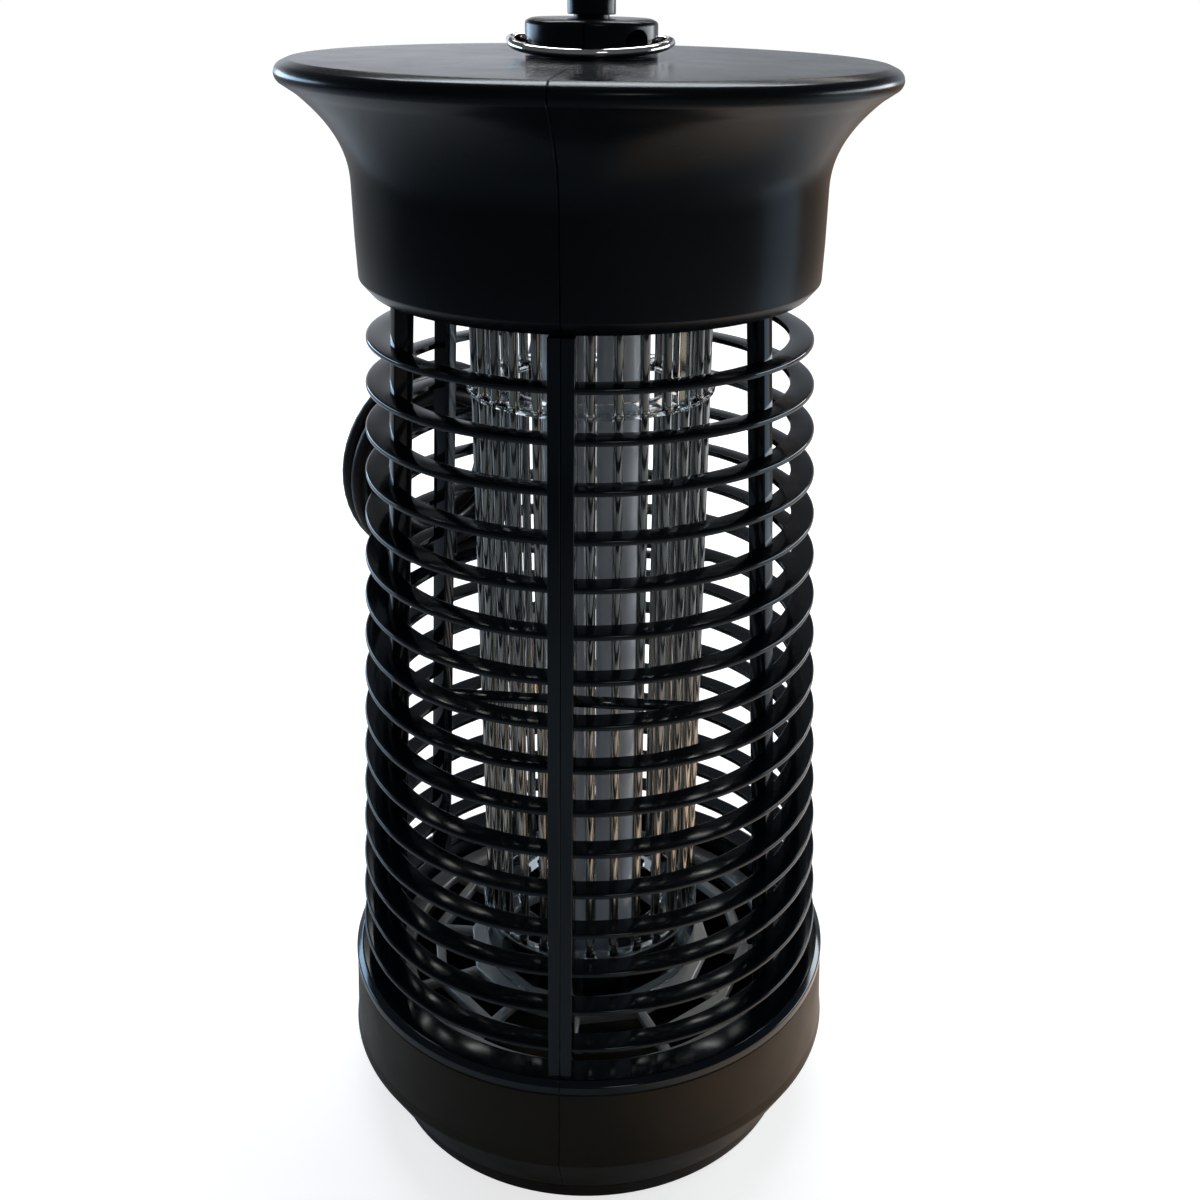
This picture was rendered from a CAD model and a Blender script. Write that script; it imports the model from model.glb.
"""The bug zapper's finished look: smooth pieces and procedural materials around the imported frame."""

import math

import bmesh
import bpy
from mathutils import Matrix, Vector


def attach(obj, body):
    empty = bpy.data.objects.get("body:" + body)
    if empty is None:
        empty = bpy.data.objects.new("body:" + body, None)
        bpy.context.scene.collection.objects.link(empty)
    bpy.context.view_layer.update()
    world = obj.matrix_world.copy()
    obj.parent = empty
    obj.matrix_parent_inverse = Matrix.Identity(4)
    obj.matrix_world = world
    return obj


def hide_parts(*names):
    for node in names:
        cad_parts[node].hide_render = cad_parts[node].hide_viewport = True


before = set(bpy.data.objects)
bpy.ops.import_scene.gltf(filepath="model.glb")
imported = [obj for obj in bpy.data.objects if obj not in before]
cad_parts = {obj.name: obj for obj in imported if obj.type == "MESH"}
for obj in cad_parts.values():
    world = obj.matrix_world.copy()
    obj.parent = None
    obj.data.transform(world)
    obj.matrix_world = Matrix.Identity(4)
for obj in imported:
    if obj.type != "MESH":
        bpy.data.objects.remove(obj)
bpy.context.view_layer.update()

# Seams, edges and facets
HALF_GAP = 0.00007        # half of the gap at the casing's seam
SEAM_EDGE = 0.0001        # softened edge along a seam
HOOD_SEAM_EDGE = 0.00022  # the hood's seam shows more
EDGE = 0.0004             # usual rounding of an edge
THIN_EDGE = 0.0003        # rounding on thin pieces
STEPS = 72                # facets in half a turn
FINE_STEPS = 96           # the same for wide, smooth pieces
ROUND_STEPS = 112         # facets in a full turn of the grid's rings

# Hood
SKIRT = [(0.0575, 0.2682), (0.0599, 0.2682), (0.0628, 0.2716), (0.0631, 0.2820)]
SKIRT_FILLETS = [0, 0.0006, 0.0010, 0]
FLARE_Z = (0.2953, 0.3185)
FLARE_POWER = 2.2
FLARE_STEPS = 24
WALL_R = 0.0632
RIM_R = 0.0803
RIM_Z = 0.3220
BEAD_R = 0.0027
BEAD_Z = 0.32295
BEAD_ANGLES = (*range(-50, 60, 10), 57, 63)
RIM_SLOPE = [(24.5, 0.0010), (22.5, 0.0010), (17, 0.0003), (10, 0.0002), (4, 0.0002)]  # degrees and run
DOME = 0.0006
BOSS_TOP_Z = 0.33605
BOSS = [(0.0173, 0.3269), (0.0171, 0.3272), (0.0171, 0.3344), (0.01702, 0.3350), (0.0167, 0.33542),
        (0.0161, 0.33570), (0.0155, 0.33596), (0.0149, BOSS_TOP_Z), (0.0052, BOSS_TOP_Z), (0.0049, 0.3358),
        (0.0049, 0.3241)]
CEILING_INSET = 0.0042
HOOD_WALL = (0.0026, 0.0006)  # how far the hollow lies inside and below the flare
HOOD_FOOT = [(0.0606, 0.2726), (0.0575, 0.2712), (0.0575, 0.2682)]
PIVOT_X = (0.0092, 0.0200)
PIVOT_Z = 0.3310
PIVOT_R = 0.0015
SCREW_X = (0.0052, 0.0200)
SCREW_Y = 0.0109
SCREW_RECESS_R = 0.0029

# Cage
RING_COUNT = 16
RING_PITCH = 0.0127
RING_TOP_Z = 0.2559
RING_TOP_R = 0.0619
RING_GROWTH = 0.00081
RING_DEPTH = 0.0067
RING_THICK = 0.0016
RING_FILLETS = [0.0003, 0.00055, 0.00070, 0.0003]
COLLAR = (0.0480, 0.0595, 0.2725, 0.2760)
FOOT_LIP = [(0.0668, 0.0440), (0.0718, 0.0440), (0.0718, 0.0511), (0.0772, 0.0511), (0.0772, 0.0538),
            (0.0753, 0.0550), (0.0668, 0.0550)]
FOOT_LIP_FILLETS = [0.0004, 0.0004, 0.0003, 0.0004, 0.0008, 0.0012, 0.0010]
RIB_AZIMUTHS = (math.radians(60), math.radians(120))
RIB_HALF = 0.0023
RIB_INSETS = (0.0050, 0.0102)
RIB_Z = (0.0520, 0.2750)
NECK_Z = (0.2602, 0.2750)
NECK_START = 0.0003
SEAM_RIB_HALF = 0.00335
SEAM_RIB_INSETS = (-0.0004, 0.0070)
SEAM_RIB_Z = (0.0516, 0.2679)
SEAM_RIB_EDGE = 0.0002
STRUT_RING = 7
STRUT_Y = (0.0498, 0.0548)
STRUT_BITE = 0.0020  # how far the struts run into their ring
STRUT_DROPS = (0.0014, 0.0002)

# Base, tray and grate
BASE = [(0.0679, 0.0085), (0.0701, 0.0085), (0.0788, 0.0252), (0.0782, 0.0285), (0.0771, 0.0508),
        (0.0749, 0.0508), (0.0749, 0.0437), (0.0580, 0.0437), (0.0580, 0.0405), (0.0759, 0.0405),
        (0.0766, 0.0258)]
BASE_FILLETS = [0.0004, 0.0006, 0.0022, 0.0040, 0.0005, 0.0003, 0.0003, 0.0004, 0.0004, 0.0003, 0.0020]
TRAY = [(0, 0.0020), (0, 0), (0.0660, 0), (0.0672, 0.0012), (0.0698, 0.0082), (0.0660, 0.0085),
        (0.0660, 0.0376), (0.0640, 0.0376), (0.0640, 0.0020)]
TRAY_FILLETS = [0, 0, 0.0010, 0.0012, 0.0004, 0.0004, 0.0006, 0.0006, 0.0015]
TRAY_STEPS = 160
GRATE_Z = (0.0440, 0.0475)
GRATE_RIM = (0.0590, 0.0656)
GRATE_RIM_EDGE = 0.0008
GRATE_RIM_STEPS = 144
GRATE_WEBS = ((0.0503, 0.0535), (0.0300, 0.0405))
GRATE_WEB_EDGE = 0.0006
SPOKES = 12
SPOKE_HALF = 0.0014
SPOKE_R = (0.0370, 0.0605)
SPOKE_SINK = 0.0003  # spokes lie this much inside the web's faces

# Grid, holders and lamp
ROD_COUNT = 28
ROD_R = 0.0014
ROD_SIDES = 20
ROD_CIRCLE_R = 0.0326
ROD_Z = (0.0658, 0.2900)
ROD_HOLE_GAP = 0.0002
ROD_STRETCH = (1, 1, 0.06)  # draws the rods' noise out along them
BUSBAR_R = {"grid_a": 0.0364, "grid_b": 0.0294}
BUSBAR_HALF = 0.0015
BUSBAR_Z = (0.2845, 0.2875)
BUSBAR_STUB_Z = 0.2860
BUSBAR_STUB_R = 0.0011
HOLDER_R = 0.0352
HOLDER_HOLE_R = 0.0240
GUIDE_Z = (0.2394, 0.2408)
GUIDE_HOLES = (0.0010, 0.0024)  # the holes' reach below and above the guide's lower face
FLANGE_R = 0.0440
FLANGE_Z = (0.2791, 0.2811)
FLANGE_LAP = 0.0006
COLUMN_GAPS = (4, 10, 18, 24)
COLUMN_R = 0.0016
COLUMN_BITES = (0.0005, 0.0010)  # how far a column runs into the guide and the flange
SOCKET_WALL = 0.0025
SOCKET_Z = (0.0478, 0.0638, 0.0688)
SOCKET_FILLETS = [0.0004, 0.0004, 0.0008, 0.0006, 0.0005, 0.0008]
SOCKET_HOLES_Z = (0.0655, 0.0698)
LAMP_LEG_X = 0.00775
LAMP_LEG_Z = (0.2630, 0.1800, 0.0540)  # top, middle, and where the bend starts
LAMP_BEND_STEPS = 24
LAMP_R = 0.00625
CAP_HALF = (0.0170, 0.0095)
CAP_CORNER = 0.0060
CAP_ROWS = [(0.0006, 0.2633), (0.0, 0.2640), (0.0, 0.2832), (0.0006, 0.2840)]  # inset and height

# Bail and strain relief
BAIL_REACH = 0.0216
BAIL_R = 0.0206
BAIL_REST_Z = 0.3285
BAIL_WIRE_R = 0.0012
BAIL_ARC_STEPS = 56
BAIL_ARC_PART = (6, 50)  # first and last step of the arc between the arms
BAIL_ARM = [(-0.0098, 0), (-0.0176, 0), (-0.0185, -0.0001), (-0.0193, -0.0005), (-0.0199, -0.0011),
            (-0.0204, -0.0020), (-BAIL_R, -0.0030)]
RELIEF_TOP_Z = 0.3680
RELIEF_FOOT_Z = BOSS_TOP_Z + 0.0105
RELIEF_RIBS = 3
RELIEF_RIB_PLACE = 0.55  # a rib's edge, as a part of its share of the height
RELIEF_START_R = 0.0040
RELIEF_GROWTH = 0.0022
RELIEF_TIP = [(0, 0), (0.0037, 0), (0.0039, -0.0002)]
RELIEF_RIB = [(-0.0002, 0.0012), (0, 0.0009), (0, 0.0001), (-0.0003, -0.0002), (-0.0012, -0.0007)]
RELIEF_GROOVE = (-0.0012, 0.0006)
RELIEF_SHOULDER = [(0.0060, 0), (0.0062, -0.0003)]
RELIEF_STEM = [(0.0062, 0.33715), (0.0060, 0.33695), (0.0046, 0.33695), (0.0046, 0.3238),
               (0.0066, 0.3238), (0.0066, 0.3212), (0, 0.3212)]
RELIEF_STEPS = 64

# Cord, tie and plug
CORD_R = 0.0023
COIL_AZIMUTH = math.radians(-135)
COIL_TURNS = 6
COIL_PITCH = 0.0051
COIL_R = 0.0331
COIL_Z = 0.1968
COIL_OUT = 0.0714
COIL_SIDE = 0.0065
COIL_LAYER = 0.0054
COIL_CLIMB = 0.5  # the part of a turn in which the cord changes layer
TURN_STEPS = 48
LEAD_ROUTE = [
    (0.0000, 0.0000, 0.3683), (0.0000, 0.0000, 0.3730), (0.0000, 0.0000, 0.3790),
    (-0.0003, 0.0028, 0.3872), (-0.0011, 0.0090, 0.3940), (-0.0023, 0.0180, 0.3978),
    (-0.0036, 0.0285, 0.3980), (-0.0048, 0.0390, 0.3945), (-0.0061, 0.0490, 0.3880),
    (-0.0073, 0.0585, 0.3790), (-0.0084, 0.0670, 0.3678), (-0.0092, 0.0740, 0.3548),
    (-0.0100, 0.0792, 0.3405), (-0.0108, 0.0817, 0.3300), (-0.0118, 0.0823, 0.3205),
    (-0.0132, 0.0821, 0.3090), (-0.0155, 0.0812, 0.2930), (-0.0182, 0.0797, 0.2770),
    (-0.0212, 0.0778, 0.2610), (-0.0243, 0.0757, 0.2455), (-0.0272, 0.0735, 0.2310),
    (-0.0298, 0.0713, 0.2185),
]
LEAD_JOIN = ((0.0002, 0.0004, 0.0140), (0, 0, 0.0070))  # the lead's last points, from the coil's start
TAIL_FALLS = ((0.0060, 0.0001), (0.0120, 0.0006), (0.0180, 0.0013))  # distance down and out
TAIL_END = (0.0003, 0.0007)  # above the plug's top and outwards
TAIL_STRAIGHT = 0.0060
TIE_HALF = 0.0025
TIE_GAP = 0.0006
TIE_MIDDLE = 1.5   # in pitches of the coil, from its edge
TIE_REACH = 1.35   # in pitches, to each side of the middle
TIE_CORNER = 0.0030
TIE_ROWS = ((0, -TIE_HALF), (0.0009, -TIE_HALF), (0.0011, -0.0022), (0.0011, 0.0022), (0.0009, TIE_HALF),
            (0, TIE_HALF))
PLUG_TOP_Z = 0.1450
PLUG_NECK = 0.0120  # rows above this depth are round, those below are squarer
PLUG_SQUARE = 0.72
PLUG_SIDES = 48
PLUG_ROWS = [  # half width, half depth, distance down
    (0.0036, 0.0036, 0.0), (0.0042, 0.0042, 0.0003), (0.0042, 0.0042, 0.0022), (0.0037, 0.0037, 0.0027),
    (0.0037, 0.0037, 0.0042), (0.0046, 0.0045, 0.0047), (0.0046, 0.0045, 0.0068), (0.0040, 0.0040, 0.0073),
    (0.0041, 0.0041, 0.0088), (0.0050, 0.0049, 0.0093), (0.0052, 0.0050, 0.0120), (0.0076, 0.0060, 0.0150),
    (0.0098, 0.0068, 0.0175), (0.0110, 0.0074, 0.0200), (0.0120, 0.0081, 0.0235), (0.0125, 0.0085, 0.0270),
    (0.0124, 0.0085, 0.0350), (0.0120, 0.0082, 0.0366), (0.0116, 0.0078, 0.0370),
]
BLADE_TOP_Z = PLUG_TOP_Z - 0.0373
BLADE_LENGTH = 0.0160
BLADE_SHIFT = 0.00635
BLADE_HALF = (0.00075, 0.0032)

# Camera and stage
CAMERA_PLACE = (0.044820, -0.380854, 0.348111)
CAMERA_TURN = (66.333, -0.903, 4.835)  # tilt, roll and heading in degrees
SENSOR = 36
LENS = 41.752
SHIFT = (-0.0346, -0.0191)
FLOOR_Z = -0.0002
FLOOR_HALF = 6.0
LAMPS = (  # name, place, target, width, height, watts, colour
    ("top_softbox", (-0.05, 0.42, 0.95), (0, 0, 0.30), 0.9, 0.12, 6.5, (0.92, 0.96, 1.0)),
    ("back_softbox", (0.0, 0.85, 0.83), (0, 0, 0.10), 0.9, 0.05, 0.8, (1.0, 0.94, 0.82)),
    ("left_strip", (-0.82, 0.46, 0.36), (-0.05, 0, 0.06), 0.7, 0.16, 3.0, (0.52, 0.74, 1.0)),
    ("right_strip", (0.84, 0.42, 0.38), (0.05, 0, 0.06), 0.8, 0.16, 4.0, (0.94, 0.97, 1.0)),
    ("side_softbox", (0.63, 0.16, 0.17), (0, 0, 0.28), 0.30, 0.30, 0.30, (0.52, 0.78, 1.0)),
    ("front_fill", (0.55, -1.40, 1.50), (0, 0, 0.18), 0.35, 0.20, 2.2, (1.0, 0.92, 0.82)),
)


# Camera


def make_camera():
    """The photograph's view, solved from the rings and the hood."""
    data = bpy.data.cameras.new("camera")
    data.sensor_width = SENSOR
    data.lens = LENS
    data.shift_x, data.shift_y = SHIFT
    data.clip_start = 0.01
    camera = bpy.data.objects.new("camera", data)
    camera.location = CAMERA_PLACE
    camera.rotation_euler = [math.radians(angle) for angle in CAMERA_TURN]
    bpy.context.scene.collection.objects.link(camera)
    bpy.context.scene.camera = camera


# Nodes


def node_tree(name):
    made = bpy.data.materials.new(name)
    made.use_nodes = True
    tree = made.node_tree
    return made, tree, tree.nodes["Principled BSDF"]


def noise(tree, scale, detail=4.0, stretch=(1, 1, 1)):
    """A noise factor in object space, with its own stretch."""
    place = tree.nodes.new("ShaderNodeTexCoord")
    mapping = tree.nodes.new("ShaderNodeMapping")
    mapping.inputs["Scale"].default_value = stretch
    texture = tree.nodes.new("ShaderNodeTexNoise")
    texture.inputs["Scale"].default_value = scale
    texture.inputs["Detail"].default_value = detail
    tree.links.new(place.outputs["Object"], mapping.inputs["Vector"])
    tree.links.new(mapping.outputs["Vector"], texture.inputs["Vector"])
    return texture.outputs["Fac"]


def ramp(tree, factor, dark, light, low=0.3, high=0.7):
    """Colours or greys between two stops."""
    made = tree.nodes.new("ShaderNodeValToRGB")
    made.color_ramp.elements[0].position = low
    made.color_ramp.elements[1].position = high
    for stop, value in zip(made.color_ramp.elements, (dark, light)):
        stop.color = (*value, 1) if hasattr(value, "__len__") else (value, value, value, 1)
    tree.links.new(factor, made.inputs["Fac"])
    return made.outputs["Color"]


def bump(tree, shader, factor, strength, distance):
    made = tree.nodes.new("ShaderNodeBump")
    made.inputs["Strength"].default_value = strength
    made.inputs["Distance"].default_value = distance
    tree.links.new(factor, made.inputs["Height"])
    tree.links.new(made.outputs["Normal"], shader.inputs["Normal"])


def maths(tree, operation, first, second):
    """A math node on two sockets."""
    made = tree.nodes.new("ShaderNodeMath")
    made.operation = operation
    for socket, value in zip(made.inputs, (first, second)):
        tree.links.new(value, socket)
    return made.outputs[0]


def between(tree, value, low, high, start, end):
    """A smooth change from start to end while the value goes from low to high."""
    made = tree.nodes.new("ShaderNodeMapRange")
    made.interpolation_type = "SMOOTHSTEP"
    tree.links.new(value, made.inputs["Value"])
    for name, number in (("From Min", low), ("From Max", high), ("To Min", start), ("To Max", end)):
        made.inputs[name].default_value = number
    return made.outputs["Result"]


def axes(tree, source):
    """The X, Y and Z of a texture coordinate, as sockets by letter, and the coordinate itself."""
    place = tree.nodes.new("ShaderNodeTexCoord")
    parts = tree.nodes.new("ShaderNodeSeparateXYZ")
    tree.links.new(place.outputs[source], parts.inputs[0])
    return parts.outputs, place.outputs[source]


# Materials


def surface(name, colours, rough, scale=60, grain=None, metallic=0.0, specular=0.5, tint=(1, 1, 1),
            stretch=(1, 1, 1)):
    """A material whose colour and roughness vary slowly; grain is its scale, depth and strength."""
    made, tree, shader = node_tree(name)
    slow = noise(tree, scale, 5.0, stretch)
    fine = noise(tree, scale * 2.3, 6.0, stretch)
    tree.links.new(ramp(tree, slow, *colours), shader.inputs["Base Color"])
    tree.links.new(ramp(tree, fine, *rough), shader.inputs["Roughness"])
    shader.inputs["Metallic"].default_value = metallic
    shader.inputs["Specular IOR Level"].default_value = specular
    shader.inputs["Specular Tint"].default_value = (*tint, 1)
    if grain:
        size, depth, strength = grain
        bump(tree, shader, noise(tree, size, 2.0), strength, depth)
    return made


def clear_plastic(name, dark, light):
    made, tree, shader = node_tree(name)
    tree.links.new(ramp(tree, noise(tree, 45), dark, light), shader.inputs["Base Color"])
    tree.links.new(ramp(tree, noise(tree, 160), 0.02, 0.06), shader.inputs["Roughness"])
    shader.inputs["Transmission Weight"].default_value = 1.0
    shader.inputs["IOR"].default_value = 1.30
    return made


def rod_steel():
    """Polished steel, paler and warmer towards the lower ends of the rods."""
    made, tree, shader = node_tree("rod_steel")
    parts, _ = axes(tree, "Object")
    streak = noise(tree, 240, 5.0, ROD_STRETCH)
    mix = tree.nodes.new("ShaderNodeMixRGB")
    tree.links.new(between(tree, parts["Z"], 0.07, 0.19, 1.0, 0.0), mix.inputs["Fac"])
    tree.links.new(ramp(tree, streak, (0.15, 0.17, 0.18), (0.32, 0.33, 0.32)), mix.inputs["Color1"])
    tree.links.new(ramp(tree, streak, (0.34, 0.33, 0.30), (0.66, 0.62, 0.54)), mix.inputs["Color2"])
    tree.links.new(mix.outputs["Color"], shader.inputs["Base Color"])
    tree.links.new(ramp(tree, noise(tree, 550, 6.0, ROD_STRETCH), 0.07, 0.16), shader.inputs["Roughness"])
    shader.inputs["Metallic"].default_value = 1.0
    return made


def lamp_glass():
    made, tree, shader = node_tree("lamp_glass")
    milky = ramp(tree, noise(tree, 40, 3.0), (0.62, 0.65, 0.71), (0.72, 0.75, 0.80))
    tree.links.new(milky, shader.inputs["Base Color"])
    tree.links.new(ramp(tree, noise(tree, 120), 0.16, 0.26), shader.inputs["Roughness"])
    shader.inputs["Coat Weight"].default_value = 0.6
    shader.inputs["Coat Roughness"].default_value = 0.05
    return made


def make_looks():
    return {
        "hood": surface("hood_plastic", ((0.0030, 0.0045, 0.0062), (0.0046, 0.0066, 0.0090)), (0.20, 0.24),
                        30, (2600, 0.00005, 0.08), specular=0.12, tint=(0.76, 0.90, 1.0)),
        "base": surface("base_plastic", ((0.0066, 0.0058, 0.0046), (0.0092, 0.0082, 0.0066)), (0.36, 0.46),
                        30, (2600, 0.00005, 0.35), specular=0.24, tint=(1.0, 0.88, 0.70)),
        "gloss": surface("cage_plastic", ((0.0012, 0.0024, 0.0040), (0.0024, 0.0042, 0.0064)), (0.08, 0.14),
                         55, (900, 0.00003, 0.05), specular=0.42, tint=(0.74, 0.88, 1.0)),
        "grate": surface("grate_plastic", ((0.50, 0.50, 0.49), (0.62, 0.62, 0.60)), (0.28, 0.38), 90,
                         metallic=0.3),
        "steel": rod_steel(),
        "chrome": surface("chrome_wire", ((0.60, 0.60, 0.60), (0.72, 0.71, 0.70)), (0.06, 0.14), 300,
                          metallic=1.0),
        "clear": clear_plastic("clear_plastic", (0.78, 0.86, 0.91), (0.90, 0.95, 0.98)),
        "smoked": clear_plastic("dusty_clear_plastic", (0.34, 0.39, 0.42), (0.48, 0.53, 0.56)),
        "lamp": lamp_glass(),
        "white": surface("white_plastic", ((0.66, 0.66, 0.63), (0.74, 0.74, 0.71)), (0.34, 0.48), 80,
                         (1500, 0.00004, 0.4)),
        "board": surface("board_laminate", ((0.05, 0.17, 0.08), (0.08, 0.24, 0.11)), (0.30, 0.45), 120,
                         (1200, 0.00004, 0.4)),
        "tape": surface("wound_tape", ((0.58, 0.44, 0.10), (0.70, 0.55, 0.16)), (0.40, 0.55), 90,
                        stretch=(1, 1, 9)),
        "film": surface("dipped_film", ((0.30, 0.09, 0.04), (0.42, 0.14, 0.07)), (0.20, 0.34), 90,
                        (600, 0.00004, 0.4)),
        "lead": surface("lead_insulation", ((0.40, 0.03, 0.03), (0.50, 0.05, 0.04)), (0.36, 0.50), 140,
                        (900, 0.00004, 0.4)),
        "cord": surface("cord_vinyl", ((0.006, 0.006, 0.007), (0.011, 0.011, 0.012)), (0.34, 0.48), 120,
                        (1400, 0.00005, 0.3), specular=0.4),
        "brass": surface("blade_brass", ((0.60, 0.44, 0.18), (0.74, 0.57, 0.26)), (0.20, 0.34), 200,
                         metallic=1.0),
    }


# Mesh helpers


def finish_mesh(bm, name, look, body, nodes, angle=35):
    """Turns a bmesh into a piece that rides on a body and stands for CAD nodes."""
    bmesh.ops.recalc_face_normals(bm, faces=bm.faces)
    mesh = bpy.data.meshes.new(name)
    bm.to_mesh(mesh)
    bm.free()
    obj = bpy.data.objects.new(name, mesh)
    bpy.context.scene.collection.objects.link(obj)
    return dress(obj, look, body, nodes, angle)


def dress(obj, look, body, nodes, angle=35):
    if obj.type == "MESH":
        obj.data.shade_smooth()
        obj.data.set_sharp_from_angle(angle=math.radians(angle))
    obj.data.materials.clear()
    obj.data.materials.append(look)
    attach(obj, body)
    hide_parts(*nodes)
    return obj


def fillet(points, radius, parts=4):
    """A closed outline with rounded corners; radius is one number or one for each corner."""
    made = []
    count = len(points)
    for i, corner in enumerate(points):
        here = Vector(corner)
        before, after = Vector(points[i - 1]) - here, Vector(points[(i + 1) % count]) - here
        size = radius[i] if hasattr(radius, "__len__") else radius
        if size <= 0:
            made.append(tuple(here))
            continue
        a, b = before.normalized(), after.normalized()
        half = a.angle(b) / 2
        reach = min(size / math.tan(half), 0.49 * before.length, 0.49 * after.length)
        start, end = here + a * reach, here + b * reach
        for k in range(parts + 1):
            t = k / parts
            made.append(tuple((1 - t) ** 2 * start + 2 * t * (1 - t) * here + t * t * end))
    return made


def band(inner, outer, low, high):
    """The four corners of a flat ring's section."""
    return [(inner, low), (outer, low), (outer, high), (inner, high)]


def skin(bm, loops):
    """Faces between neighbouring loops of points, each loop closed on itself."""
    for near, far in zip(loops, loops[1:]):
        for i in range(len(near)):
            j = (i + 1) % len(near)
            bm.faces.new((near[i], near[j], far[j], far[i]))


def revolve(bm, profile, steps):
    """A full turn of a closed profile; points on the axis stay single."""
    columns = []
    angles = [math.tau * i / steps for i in range(steps)]
    for radius, height in profile:
        if radius < 1e-7:
            columns.append([bm.verts.new((0, 0, height))] * steps)
            continue
        columns.append([bm.verts.new((radius * math.sin(t), -radius * math.cos(t), height)) for t in angles])
    for upper, lower in zip(columns, columns[1:] + columns[:1]):
        for i in range(steps):
            j = (i + 1) % steps
            corners = list(dict.fromkeys((upper[i], lower[i], lower[j], upper[j])))
            if len(corners) > 2:
                bm.faces.new(corners)


def shrunk(profile, by):
    """The closed profile moved inwards, for the softened edge at a seam."""
    area = sum(p[0] * q[1] - q[0] * p[1] for p, q in zip(profile, profile[1:] + profile[:1]))
    sign = 1 if area > 0 else -1
    made = []
    for i, p in enumerate(profile):
        a, b = Vector(profile[i - 1]), Vector(profile[(i + 1) % len(profile)])
        along = (b - a).normalized()
        made.append((p[0] - sign * along.y * by, p[1] + sign * along.x * by))
    return made


def half_turn(bm, profile, side, steps=STEPS, edge=SEAM_EDGE):
    """Half a turn of a closed profile on one side of X = 0, with softened edges at the seam."""
    inner = shrunk(profile, edge)
    columns = []

    def column(points, angle_of):
        columns.append([])
        for r, z in points:
            t = angle_of(r)
            columns[-1].append(bm.verts.new((side * r * math.sin(t), -r * math.cos(t), z)))

    flat, soft = HALF_GAP, HALF_GAP + edge
    column(inner, lambda r: math.asin(flat / r))
    column(profile, lambda r: math.asin(soft / r))
    for i in range(1, steps):
        column(profile, lambda r, i=i: math.pi * i / steps)
    column(profile, lambda r: math.pi - math.asin(soft / r))
    column(inner, lambda r: math.pi - math.asin(flat / r))
    skin(bm, columns)
    bm.faces.new(columns[0])
    bm.faces.new(columns[-1])


def bar(bm, corners, soft, parts=3):
    """A box between two rings of four corners, with rounded edges."""
    own = bmesh.new()
    rings = [[own.verts.new(p) for p in ring] for ring in corners]
    own.faces.new(rings[0])
    own.faces.new(rings[1])
    skin(own, rings)
    bmesh.ops.recalc_face_normals(own, faces=own.faces)
    bmesh.ops.bevel(own, geom=list(own.edges), offset=soft, segments=parts, profile=0.5, affect="EDGES")
    merge(bm, own)


def merge(bm, other):
    mesh = bpy.data.meshes.new("part")
    other.to_mesh(mesh)
    other.free()
    bm.from_mesh(mesh)
    bpy.data.meshes.remove(mesh)


def rod(bm, foot, top, radius, sides=20, soft=0.0):
    """A straight round bar with flat or softened ends."""
    axis = Vector(top) - Vector(foot)
    turn = Vector((0, 0, 1)).rotation_difference(axis.normalized()).to_matrix()
    length = axis.length
    rows = [(radius - soft, 0.0), (radius, soft), (radius, length - soft), (radius - soft, length)]
    if not soft:
        rows = rows[1:3]
    angles = [math.tau * i / sides for i in range(sides)]
    rings = []
    for r, h in rows:
        circle = [Vector((r * math.cos(t), r * math.sin(t), h)) for t in angles]
        rings.append([bm.verts.new(Vector(foot) + turn @ p) for p in circle])
    bm.faces.new(rings[0])
    bm.faces.new(rings[-1])
    skin(bm, rings)


def cut(obj, build):
    """Takes the shapes that build(bm) makes out of a piece."""
    bm = bmesh.new()
    build(bm)
    bmesh.ops.recalc_face_normals(bm, faces=bm.faces)
    mesh = bpy.data.meshes.new("cutter")
    bm.to_mesh(mesh)
    bm.free()
    cutter = bpy.data.objects.new("cutter", mesh)
    bpy.context.scene.collection.objects.link(cutter)
    step = obj.modifiers.new("cut", "BOOLEAN")
    step.operation = "DIFFERENCE"
    step.object = cutter
    bpy.context.view_layer.update()
    graph = bpy.context.evaluated_depsgraph_get()
    made = bpy.data.meshes.new_from_object(obj.evaluated_get(graph))
    obj.modifiers.clear()
    obj.data = made
    obj.data.set_sharp_from_angle(angle=math.radians(35))
    bpy.data.objects.remove(cutter, do_unlink=True)


def tube(name, points, radius, look, body, nodes, resolution=4):
    """A round tube along the points, as a curve with filled ends."""
    curve = bpy.data.curves.new(name, "CURVE")
    curve.dimensions = "3D"
    spline = curve.splines.new("POLY")
    spline.points.add(len(points) - 1)
    for place, point in zip(spline.points, points):
        place.co = (*point, 1)
    spline.use_smooth = True
    curve.bevel_depth = radius
    curve.bevel_resolution = resolution
    curve.use_fill_caps = True
    obj = bpy.data.objects.new(name, curve)
    bpy.context.scene.collection.objects.link(obj)
    return dress(obj, look, body, nodes)


def polar(radius, azimuth, height=0.0):
    return Vector((radius * math.sin(azimuth), -radius * math.cos(azimuth), height))


def cage_radius(height):
    return RING_TOP_R + RING_GROWTH * (RING_TOP_Z - height) / RING_PITCH


OUT = polar(1, COIL_AZIMUTH)
LEFT = Vector((math.cos(COIL_AZIMUTH), math.sin(COIL_AZIMUTH), 0))


# Casing


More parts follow.
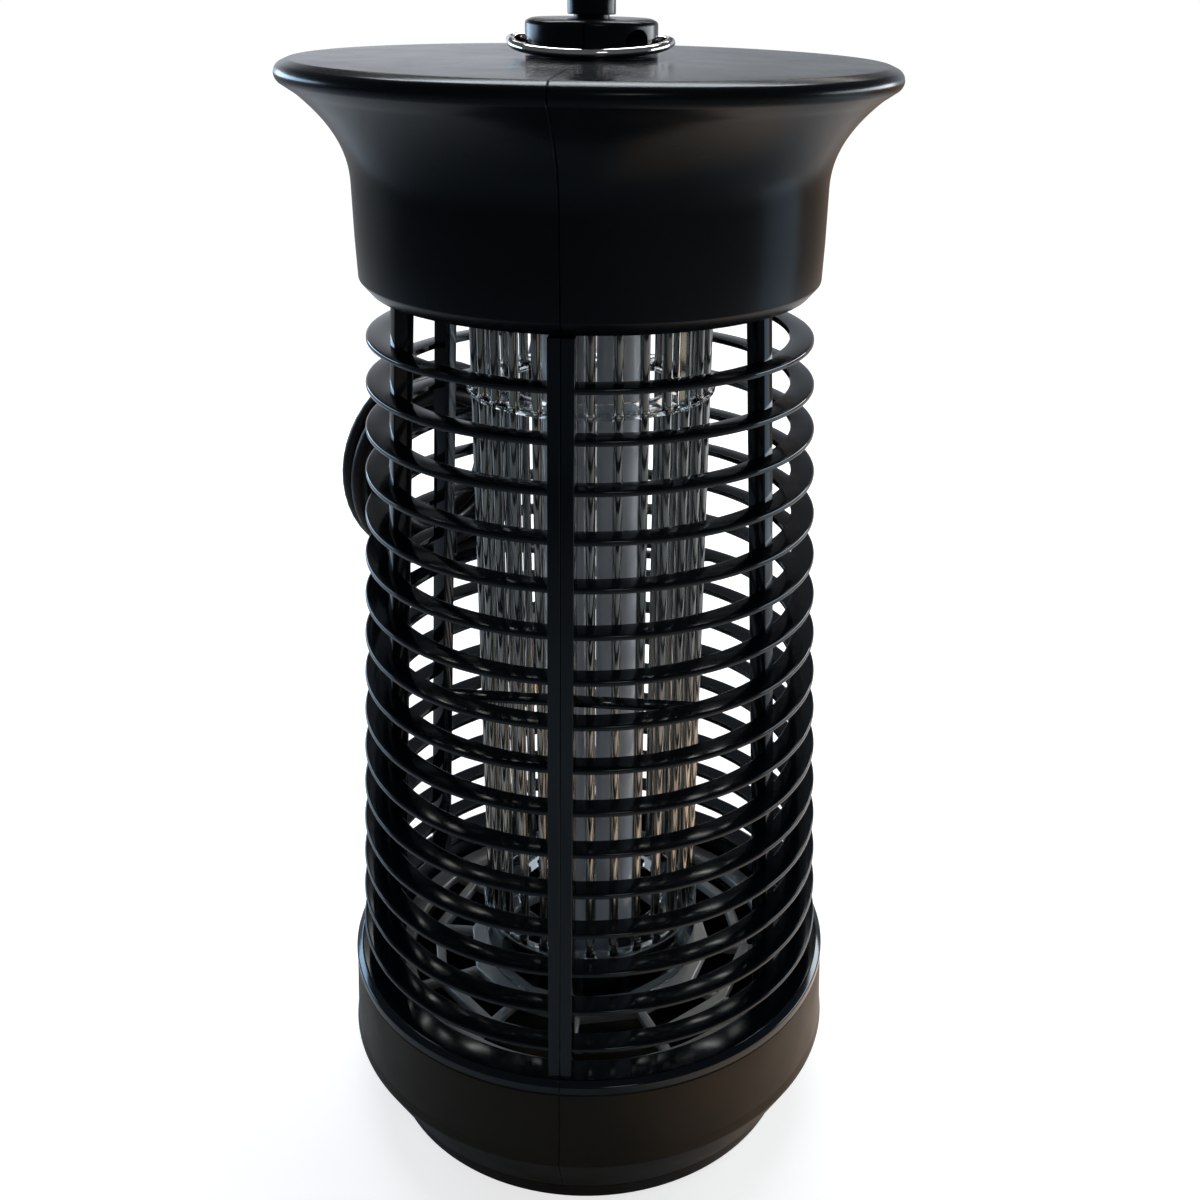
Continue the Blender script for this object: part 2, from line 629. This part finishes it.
def hood_profile():
    """Skirt, flare, rolled rim, slightly domed top, boss, and the hollow inside."""
    skirt = fillet(SKIRT, SKIRT_FILLETS, 4)[1:]
    low, high = FLARE_Z
    heights = [low + (high - low) * i / FLARE_STEPS for i in range(FLARE_STEPS + 1)]
    flare = [(WALL_R + (RIM_R - WALL_R) * ((z - low) / (RIM_Z - low)) ** FLARE_POWER, z) for z in heights]
    angles = [math.radians(a) for a in BEAD_ANGLES]
    rim = [(RIM_R - BEAD_R * (1 - math.cos(t)), BEAD_Z + BEAD_R * math.sin(t)) for t in angles]
    edge_r, edge_z = rim[-1]
    for tilt, run in RIM_SLOPE:
        edge_r -= run * math.cos(math.radians(tilt))
        edge_z += run * math.sin(math.radians(tilt))
        rim.append((edge_r, edge_z))
    boss_r = BOSS[0][0]
    top = [(edge_r - (edge_r - boss_r) * t, edge_z + DOME * math.sin(t * math.pi / 2))
           for t in (0.2, 0.4, 0.6, 0.8)]
    ceiling_z = BOSS[-1][1]
    thick, drop = HOOD_WALL
    hollow = [(r - thick, z - drop) for r, z in reversed(flare[:-1])]
    return skirt + flare + rim + top + BOSS + [(RIM_R - CEILING_INSET, ceiling_z)] + hollow + HOOD_FOOT


def make_hood(looks):
    for name, side in (("hood_left", -1), ("hood_right", 1)):
        bm = bmesh.new()
        half_turn(bm, hood_profile(), side, FINE_STEPS, HOOD_SEAM_EDGE)
        piece = finish_mesh(bm, name + "_shell", looks["hood"], "casing", [name],
                            40)
        cut(piece, lambda bm, side=side: boss_holes(bm, side))


def boss_holes(bm, side):
    """The bail's pivot hole, and on the right half the two screw recesses."""
    near, far = PIVOT_X
    rod(bm, (side * near, 0, PIVOT_Z), (side * far, 0, PIVOT_Z), PIVOT_R, 24)
    if side > 0:
        near, far = SCREW_X
        for y in (-SCREW_Y, SCREW_Y):
            rod(bm, (near, y, PIVOT_Z), (far, y, PIVOT_Z), SCREW_RECESS_R, 32)


def make_cage(looks):
    section = fillet(band(-RING_DEPTH, 0, -RING_THICK, 0), RING_FILLETS, 4)
    for name, side in (("cage_left", -1), ("cage_right", 1)):
        bm = bmesh.new()
        for k in range(RING_COUNT):
            z, r = RING_TOP_Z - k * RING_PITCH, RING_TOP_R + k * RING_GROWTH
            half_turn(bm, [(r + a, z + b) for a, b in section], side)
        half_turn(bm, fillet(band(*COLLAR), EDGE, 2), side)
        half_turn(bm, fillet(FOOT_LIP, FOOT_LIP_FILLETS, 6), side, FINE_STEPS)
        for azimuth in RIB_AZIMUTHS:
            cage_bar(bm, side, azimuth, (-RIB_HALF, RIB_HALF), RIB_INSETS, RIB_Z)
        for azimuth, turn in ((0, 1), (math.pi, -1)):
            cage_bar(bm, side, azimuth, (turn * NECK_START, turn * RIB_HALF), RIB_INSETS, NECK_Z)
            cage_bar(bm, side, azimuth, (turn * HALF_GAP, turn * SEAM_RIB_HALF), SEAM_RIB_INSETS, SEAM_RIB_Z,
                     SEAM_RIB_EDGE)
        strut(bm, side)
        finish_mesh(bm, name + "_moulding", looks["gloss"], "casing", [name])


def cage_bar(bm, side, azimuth, shifts, insets, heights, soft=EDGE):
    """A rib along the cage's cone, given for the right half and mirrored for the left."""
    out = polar(1, azimuth)
    along = Vector((math.cos(azimuth), math.sin(azimuth), 0))
    rings = []
    for z in heights:
        edge = cage_radius(z)
        ring = [out * (edge - inset) + along * shift + Vector((0, 0, z))
                for inset, shift in ((insets[0], shifts[0]), (insets[0], shifts[1]),
                                     (insets[1], shifts[1]), (insets[1], shifts[0]))]
        rings.append([Vector((side * p.x, p.y, p.z)) for p in ring])
    bar(bm, rings, soft)


def strut(bm, side):
    """Straight bars behind the seam ribs, front and back, on the eighth ring."""
    z = RING_TOP_Z - STRUT_RING * RING_PITCH
    edge = cage_radius(z) - RING_DEPTH + STRUT_BITE
    near, far = STRUT_Y
    ends = [(math.sqrt(edge ** 2 - y ** 2), y) for y in STRUT_Y]
    outline = [(HALF_GAP, near), *ends, (HALF_GAP, far)]
    for turn in (1, -1):
        rings = [[Vector((side * x, turn * y, z - drop)) for x, y in outline] for drop in STRUT_DROPS]
        bar(bm, rings, THIN_EDGE)


def make_base(looks):
    profile = fillet(BASE, BASE_FILLETS, 5)
    for name, side in (("base_left", -1), ("base_right", 1)):
        bm = bmesh.new()
        half_turn(bm, profile, side, FINE_STEPS)
        finish_mesh(bm, name + "_shell", looks["base"], "casing", [name])


def make_tray(looks):
    bm = bmesh.new()
    revolve(bm, fillet(TRAY, TRAY_FILLETS, 4), TRAY_STEPS)
    finish_mesh(bm, "catch_tray_cup", looks["base"], "tray", ["catch_tray"])


def make_grate(looks):
    """Web of spokes and straight chords inside a round ring."""
    low, high = GRATE_Z
    bm = bmesh.new()
    revolve(bm, fillet(band(*GRATE_RIM, low, high), GRATE_RIM_EDGE, 4), GRATE_RIM_STEPS)
    for inner, outer in GRATE_WEBS:
        revolve(bm, fillet(band(inner, outer, low, high), GRATE_WEB_EDGE, 3), SPOKES)
    near, far = SPOKE_R
    for i in range(SPOKES):
        a = math.tau * i / SPOKES
        e, n = polar(1, a), Vector((math.cos(a), math.sin(a), 0)) * SPOKE_HALF
        ring = [e * near - n, e * far - n, e * far + n, e * near + n]
        rings = [[p + Vector((0, 0, z)) for p in ring] for z in (low + SPOKE_SINK, high - SPOKE_SINK)]
        bar(bm, rings, GRATE_WEB_EDGE)
    finish_mesh(bm, "web_grate_moulding", looks["grate"], "casing", ["web_grate"])


# Grid, holders and lamp


def rod_places(first):
    return [math.tau * (i + 0.5) / ROD_COUNT for i in range(first, ROD_COUNT, 2)]


def make_grid(looks):
    low, high = ROD_Z
    for first, (name, radius) in enumerate(BUSBAR_R.items()):
        bm = bmesh.new()
        busbar = band(radius - BUSBAR_HALF, radius + BUSBAR_HALF, *BUSBAR_Z)
        revolve(bm, fillet(busbar, EDGE, 2), ROUND_STEPS)
        for azimuth in rod_places(first):
            rod(bm, polar(ROD_CIRCLE_R, azimuth, low), polar(ROD_CIRCLE_R, azimuth, high), ROD_R, ROD_SIDES,
                THIN_EDGE)
            rod(bm, polar(ROD_CIRCLE_R, azimuth, BUSBAR_STUB_Z), polar(radius, azimuth, BUSBAR_STUB_Z),
                BUSBAR_STUB_R, 12)
        finish_mesh(bm, name + "_rods", looks["steel"], "casing", [name])


def rod_holes(bm, low, high):
    for first in (0, 1):
        for azimuth in rod_places(first):
            rod(bm, polar(ROD_CIRCLE_R, azimuth, low), polar(ROD_CIRCLE_R, azimuth, high),
                ROD_R + ROD_HOLE_GAP, ROD_SIDES)


def make_holders(looks):
    bm = bmesh.new()
    revolve(bm, fillet(band(HOLDER_HOLE_R, HOLDER_R, *GUIDE_Z), THIN_EDGE, 3), ROUND_STEPS)
    revolve(bm, fillet(band(HOLDER_R - FLANGE_LAP, FLANGE_R, *FLANGE_Z), EDGE, 3), ROUND_STEPS)
    foot, top = GUIDE_Z[0] + COLUMN_BITES[0], FLANGE_Z[0] + COLUMN_BITES[1]
    for gap in COLUMN_GAPS:
        azimuth = math.tau * gap / ROD_COUNT
        rod(bm, polar(HOLDER_R, azimuth, foot), polar(HOLDER_R, azimuth, top), COLUMN_R, 24)
    piece = finish_mesh(bm, "top_holder_guide", looks["clear"], "casing", ["top_grid_holder"])
    below, above = GUIDE_HOLES
    cut(piece, lambda bm: rod_holes(bm, GUIDE_Z[0] - below, GUIDE_Z[0] + above))

    low, shelf, top = SOCKET_Z
    wall = HOLDER_R - SOCKET_WALL
    profile = [(wall, low), (HOLDER_R, low), (HOLDER_R, top), (HOLDER_HOLE_R, top), (HOLDER_HOLE_R, shelf),
               (wall, shelf)]
    bm = bmesh.new()
    revolve(bm, fillet(profile, SOCKET_FILLETS, 4), ROUND_STEPS)
    piece = finish_mesh(bm, "bottom_holder_ring", looks["smoked"], "casing", ["bottom_grid_holder"])
    cut(piece, lambda bm: rod_holes(bm, *SOCKET_HOLES_Z))


def make_lamp(looks):
    leg, bend = LAMP_LEG_X, LAMP_LEG_Z[-1]
    turns = [math.pi * i / LAMP_BEND_STEPS for i in range(1, LAMP_BEND_STEPS)]
    points = [Vector((-leg, 0, z)) for z in LAMP_LEG_Z]
    points += [Vector((-leg * math.cos(t), 0, bend - leg * math.sin(t))) for t in turns]
    points += [Vector((leg, 0, z)) for z in reversed(LAMP_LEG_Z)]
    tube("uv_lamp_glass", points, LAMP_R, looks["lamp"], "casing", ["uv_lamp_tube"], 8)

    wide, deep = CAP_HALF
    outline = fillet([(-wide, -deep), (wide, -deep), (wide, deep), (-wide, deep)], CAP_CORNER, 6)
    bm = bmesh.new()
    rings = []
    for inset, z in CAP_ROWS:
        narrow, shallow = 1 - inset / wide, 1 - inset / deep
        rings.append([bm.verts.new((x * narrow, y * shallow, z)) for x, y in outline])
    bm.faces.new(rings[0])
    bm.faces.new(rings[-1])
    skin(bm, rings)
    finish_mesh(bm, "uv_lamp_cap", looks["white"], "casing", ["uv_lamp_base"])


# Bail, strain relief, cord and plug


def make_bail(looks):
    down = Matrix.Rotation(math.asin((PIVOT_Z - BAIL_REST_Z) / BAIL_REACH), 3, "X")
    arm = [Vector((x, y, 0)) for x, y in BAIL_ARM]
    first, last = BAIL_ARC_PART
    turns = [math.pi * i / BAIL_ARC_STEPS for i in range(first, last + 1)]
    arc = [Vector((-BAIL_R * math.cos(t), BAIL_R - BAIL_REACH - BAIL_R * math.sin(t), 0)) for t in turns]
    flat = arm + arc + [Vector((-p.x, p.y, 0)) for p in reversed(arm)]
    points = [down @ p + Vector((0, 0, PIVOT_Z)) for p in flat]
    tube("bail_wire", points, BAIL_WIRE_R, looks["chrome"], "bail", ["hanging_bail"], 5)


def make_relief(looks):
    foot, top, ribs = RELIEF_FOOT_Z, RELIEF_TOP_Z, RELIEF_RIBS
    profile = [(r, top + up) for r, up in RELIEF_TIP]
    for i in range(ribs):
        high = top - (top - foot) * (i + RELIEF_RIB_PLACE) / ribs
        low = top - (top - foot) * (i + 1.0) / ribs
        r = RELIEF_START_R + RELIEF_GROWTH * (i + 1) / ribs
        profile += [(r + out, high + up) for out, up in RELIEF_RIB]
        profile.append((r + RELIEF_GROOVE[0], low + RELIEF_GROOVE[1]))
    profile += [(r, foot + up) for r, up in RELIEF_SHOULDER] + RELIEF_STEM
    bm = bmesh.new()
    revolve(bm, profile, RELIEF_STEPS)
    finish_mesh(bm, "strain_relief_sleeve", looks["hood"], "casing", ["strain_relief"])


def coil_point(turn):
    """A point of the coil: in on the inner layer, out again on the outer one."""
    radius = COIL_R - COIL_PITCH * min(turn, COIL_TURNS - turn)
    climb = min(1.0, max(0.0, (turn - COIL_TURNS / 2) / COIL_CLIMB + 0.5))
    climb = climb * climb * (3 - 2 * climb)
    t = math.pi + math.tau * turn
    return (OUT * (COIL_OUT + COIL_LAYER * climb) + LEFT * (COIL_SIDE + radius * math.cos(t))
            + Vector((0, 0, COIL_Z + radius * math.sin(t))))


def smooth_route(points, parts):
    """A curve through the points, with several steps between each pair."""
    ends = [2 * points[0] - points[1], *points, 2 * points[-1] - points[-2]]
    made = []
    for a, b, c, d in zip(ends, ends[1:], ends[2:], ends[3:]):
        for i in range(parts):
            t = i / parts
            made.append(0.5 * (2 * b + (c - a) * t + (2 * a - 5 * b + 4 * c - d) * t * t
                               + (3 * b - a - 3 * c + d) * t ** 3))
    return made + [points[-1]]


def make_cord(looks):
    start = coil_point(0)
    lead = [Vector(p) for p in LEAD_ROUTE]
    lead += [start + Vector(step) for step in LEAD_JOIN]
    turns = [coil_point(i / TURN_STEPS) for i in range(COIL_TURNS * TURN_STEPS + 1)]
    end = turns[-1]
    tail = [end + Vector((0, 0, -down)) + OUT * out for down, out in TAIL_FALLS]
    above, out = TAIL_END
    drop = Vector((tail[-1].x, tail[-1].y, PLUG_TOP_Z + above)) + OUT * out
    tail = smooth_route([end] + tail + [drop + Vector((0, 0, TAIL_STRAIGHT)), drop], 4)[1:]
    route = smooth_route(lead, 5) + turns + tail
    cord = tube("mains_cord", route, CORD_R, looks["cord"], "casing", ["cord_lead", "cord_coil"],
                4)
    pieces = [make_tie(looks), *make_plug(looks, drop)]


def make_tie(looks):
    """A strap round the coil's lowest turns."""
    half_layer = COIL_LAYER / 2
    middle = (OUT * (COIL_OUT + half_layer) + LEFT * COIL_SIDE
              + Vector((0, 0, COIL_Z - COIL_R + COIL_PITCH * TIE_MIDDLE)))
    deep, tall = half_layer + CORD_R + TIE_GAP, COIL_PITCH * TIE_REACH + CORD_R + TIE_GAP
    bm = bmesh.new()
    loops = []
    for grow, side in TIE_ROWS:
        d, h = deep + grow, tall + grow
        outline = fillet([(d, -h), (d, h), (-d, h), (-d, -h)], TIE_CORNER, 8)
        loops.append([bm.verts.new(middle + OUT * a + Vector((0, 0, b)) + LEFT * side) for a, b in outline])
    skin(bm, loops + loops[:1])
    return finish_mesh(bm, "cord_tie_strap", looks["gloss"], "casing", ["cord_tie"])


def make_plug(looks, top):
    """Plug body with a ribbed neck, and its two blades."""
    bm = bmesh.new()
    loops = []
    for wide, deep, down in PLUG_ROWS:
        square = 1.0 if down < PLUG_NECK else PLUG_SQUARE
        ring = []
        for i in range(PLUG_SIDES):
            t = math.tau * i / PLUG_SIDES
            c, s = math.cos(t), math.sin(t)
            x, y = math.copysign(abs(c) ** square, c) * wide, math.copysign(abs(s) ** square, s) * deep
            ring.append(bm.verts.new(Vector((top.x, top.y, PLUG_TOP_Z - down)) + LEFT * x + OUT * y))
        loops.append(ring)
    bm.faces.new(loops[0])
    bm.faces.new(loops[-1])
    skin(bm, loops)
    made = [finish_mesh(bm, "plug_grip", looks["cord"], "casing", ["plug_body"], 50)]
    wide, deep = BLADE_HALF
    outline = [(-wide, -deep), (wide, -deep), (wide, deep), (-wide, deep)]
    for node, shift in (("plug_blade_1", -BLADE_SHIFT), ("plug_blade_2", BLADE_SHIFT)):
        middle = Vector((top.x, top.y, 0)) + LEFT * shift
        rings = [[middle + LEFT * a + OUT * b + Vector((0, 0, z)) for a, b in outline]
                 for z in (BLADE_TOP_Z - BLADE_LENGTH, BLADE_TOP_Z)]
        bm = bmesh.new()
        bar(bm, rings, EDGE)
        made.append(finish_mesh(bm, node + "_stamped", looks["brass"], "casing", [node]))
    return made


# Pieces whose CAD shape stays

KEPT = {
    "white": ("lamp_socket", "terminal_block"),
    "board": ("circuit_board",),
    "tape": ("ballast_choke",),
    "film": ("film_capacitor_1", "film_capacitor_2", "film_capacitor_3"),
    "lead": ("grid_lead_a", "grid_lead_b", "lamp_lead_1", "lamp_lead_2"),
    "cord": ("inner_mains_lead",),
    "gloss": ("chamber_plate",),
}


def dress_kept(looks):
    for key, names in KEPT.items():
        for name in names:
            paint(name, looks[key])
    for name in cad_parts:
        if "_screw_" in name:
            paint(name, looks["chrome"])


def paint(name, look):
    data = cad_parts[name].data
    data.materials.clear()
    data.materials.append(look)


# Stage


def seen_white(tree, share):
    """White for the camera and through clear plastic; a share of it in reflections."""
    path = tree.nodes.new("ShaderNodeLightPath")
    direct = maths(tree, "MAXIMUM", path.outputs["Is Camera Ray"], path.outputs["Is Transmission Ray"])
    return maths(tree, "MAXIMUM", direct, maths(tree, "MULTIPLY", path.outputs["Is Glossy Ray"], share))


def reflected_tint(tree, factor, start, end):
    """White for the camera and through clear plastic; in reflections a colour between two tints."""
    path = tree.nodes.new("ShaderNodeLightPath")
    made = tree.nodes.new("ShaderNodeMixRGB")
    made.inputs["Color1"].default_value = (1, 1, 1, 1)
    tree.links.new(path.outputs["Is Glossy Ray"], made.inputs["Fac"])
    tree.links.new(ramp(tree, factor, start, end, 0.0, 1.0), made.inputs["Color2"])
    return made.outputs["Color"]


def make_world():
    """White for the camera, soft light for the object, and a low tinted band behind it in reflections."""
    world = bpy.data.worlds.new("studio")
    bpy.context.scene.world = world
    world.use_nodes = True
    tree = world.node_tree
    tree.nodes.clear()
    out = tree.nodes.new("ShaderNodeOutputWorld")
    mix = tree.nodes.new("ShaderNodeMixShader")
    soft = tree.nodes.new("ShaderNodeBackground")
    soft.inputs["Color"].default_value = (0.90, 0.94, 1.0, 1)
    soft.inputs["Strength"].default_value = 0.10
    white = tree.nodes.new("ShaderNodeBackground")
    parts, _ = axes(tree, "Generated")
    across = between(tree, parts["X"], -0.25, 0.05, 0.0, 1.0)
    tint = reflected_tint(tree, across, (0.88, 0.92, 1.0), (0.50, 0.53, 0.58))
    tree.links.new(tint, white.inputs["Color"])
    behind = between(tree, parts["Y"], 0.3, 0.95, 0.0, 1.0)
    low = between(tree, parts["Z"], 0.14, 0.34, 1.0, 0.0)
    tree.links.new(seen_white(tree, maths(tree, "MULTIPLY", behind, low)), mix.inputs["Fac"])
    tree.links.new(soft.outputs[0], mix.inputs[1])
    tree.links.new(white.outputs[0], mix.inputs[2])
    tree.links.new(mix.outputs[0], out.inputs["Surface"])


def make_floor():
    bm = bmesh.new()
    corners = ((-1, -1), (1, -1), (1, 1), (-1, 1))
    bm.faces.new([bm.verts.new((x * FLOOR_HALF, y * FLOOR_HALF, FLOOR_Z)) for x, y in corners])
    mesh = bpy.data.meshes.new("floor")
    bm.to_mesh(mesh)
    bm.free()
    floor = bpy.data.objects.new("floor", mesh)
    bpy.context.scene.collection.objects.link(floor)
    mesh.materials.append(floor_look())


def floor_look():
    """A pale floor that goes to white with distance; reflections see it behind, aside and close by."""
    made, tree, shader = node_tree("pale_floor")
    pale = ramp(tree, noise(tree, 3.0, 2.0), (0.56, 0.56, 0.56), (0.60, 0.60, 0.60))
    tree.links.new(pale, shader.inputs["Base Color"])
    shader.inputs["Roughness"].default_value = 0.9
    shader.inputs["Specular IOR Level"].default_value = 0.1
    parts, place = axes(tree, "Object")
    far = tree.nodes.new("ShaderNodeVectorMath")
    far.operation = "LENGTH"
    tree.links.new(place, far.inputs[0])
    distance = far.outputs["Value"]
    across = between(tree, parts["X"], -0.20, 0.12, 0.0, 1.0)
    tint = reflected_tint(tree, across, (0.86, 0.88, 0.90), (1.0, 0.66, 0.40))
    tree.links.new(tint, shader.inputs["Emission Color"])
    lift = between(tree, distance, 0.12, 0.60, 0.72, 1.0)
    behind = between(tree, parts["Y"], 0.0, 0.6, 0.0, 0.24)
    aside = between(tree, parts["X"], 0.15, 0.90, 0.0, 0.22)
    beside = between(tree, parts["X"], 0.03, 0.11, 0.0, 1.0)
    near = between(tree, distance, 0.18, 0.40, 1.0, 0.0)
    far_share = maths(tree, "MAXIMUM", behind, aside)
    share = maths(tree, "MAXIMUM", far_share, maths(tree, "MULTIPLY", beside, near))
    tree.links.new(maths(tree, "MULTIPLY", lift, seen_white(tree, share)), shader.inputs["Emission Strength"])
    return made


def make_lamps():
    for name, place, target, width, height, power, colour in LAMPS:
        data = bpy.data.lights.new(name, "AREA")
        data.shape = "RECTANGLE"
        data.size, data.size_y = width, height
        data.energy = power
        data.color = colour
        obj = bpy.data.objects.new(name, data)
        obj.location = place
        obj.rotation_euler = (Vector(target) - Vector(place)).to_track_quat("-Z", "Y").to_euler()
        bpy.context.scene.collection.objects.link(obj)


def make_stage():
    bpy.context.scene.view_settings.view_transform = "Standard"
    make_world()
    make_floor()
    make_lamps()


def main():
    looks = make_looks()
    make_camera()
    make_cord(looks)
    make_relief(looks)
    make_bail(looks)
    make_hood(looks)
    make_cage(looks)
    make_base(looks)
    make_tray(looks)
    make_grate(looks)
    make_grid(looks)
    make_holders(looks)
    make_lamp(looks)
    dress_kept(looks)
    make_stage()


main()
